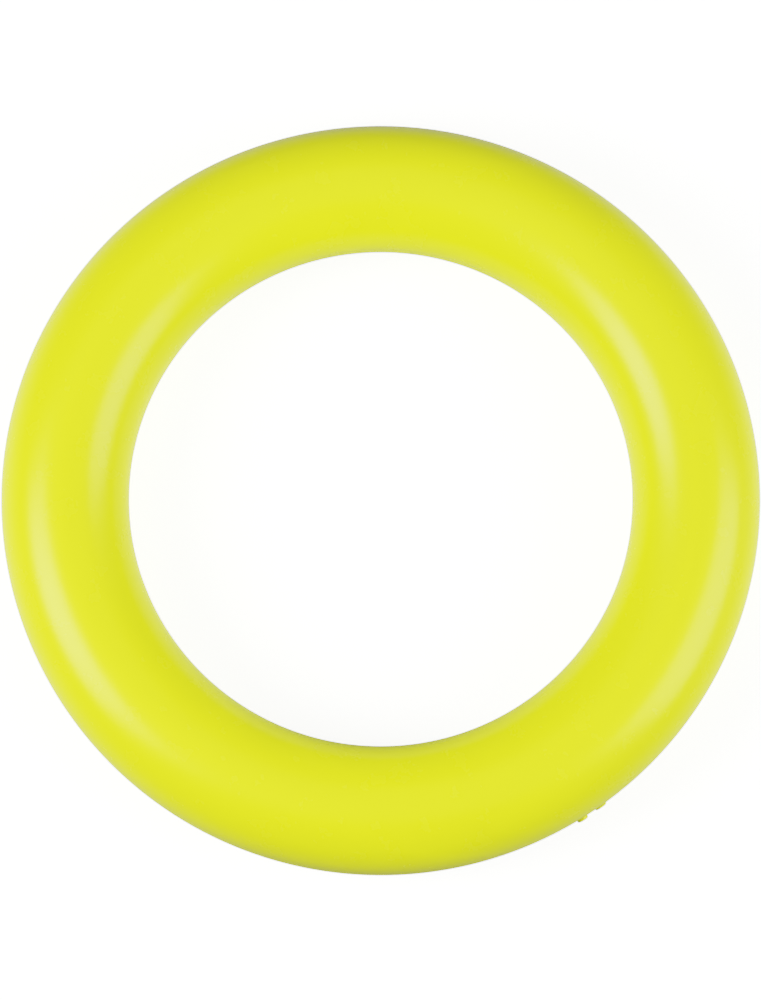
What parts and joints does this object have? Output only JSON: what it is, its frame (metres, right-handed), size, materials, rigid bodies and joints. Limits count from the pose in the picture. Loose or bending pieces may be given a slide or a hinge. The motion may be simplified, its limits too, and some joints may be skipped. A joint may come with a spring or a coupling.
{
  "type": "life ring buoy",
  "caption": "Plain round life ring of round section: a foam-filled shell moulded in two halves, welded round the inner and outer seams.",
  "frame": {"origin": "centre of the ring, on its axis, in the plane of the seams", "axes": "+Z along the ring's axis, out of the front face; +Y towards the top of the ring as it hangs; +X to the right seen from the front"},
  "size_m": [0.7498, 0.7498, 0.126],
  "materials": {
    "shell": "glossy fluorescent yellow-green polyethylene",
    "weld": "trimmed and polished polyethylene weld",
    "foam": "closed-cell polyurethane foam",
    "plug": "moulded polyethylene",
    "seal": "soft matte rubber"
  },
  "bodies": {
    "root": {"front_shell": "shell", "back_shell": "shell", "outer_weld_strand": "weld", "inner_weld_strand": "weld", "foam_core": "foam", "filler_plug": "plug", "vent_plug": "plug", "filler_plug_seal": "seal", "vent_plug_seal": "seal"}
  },
  "joints": []
}
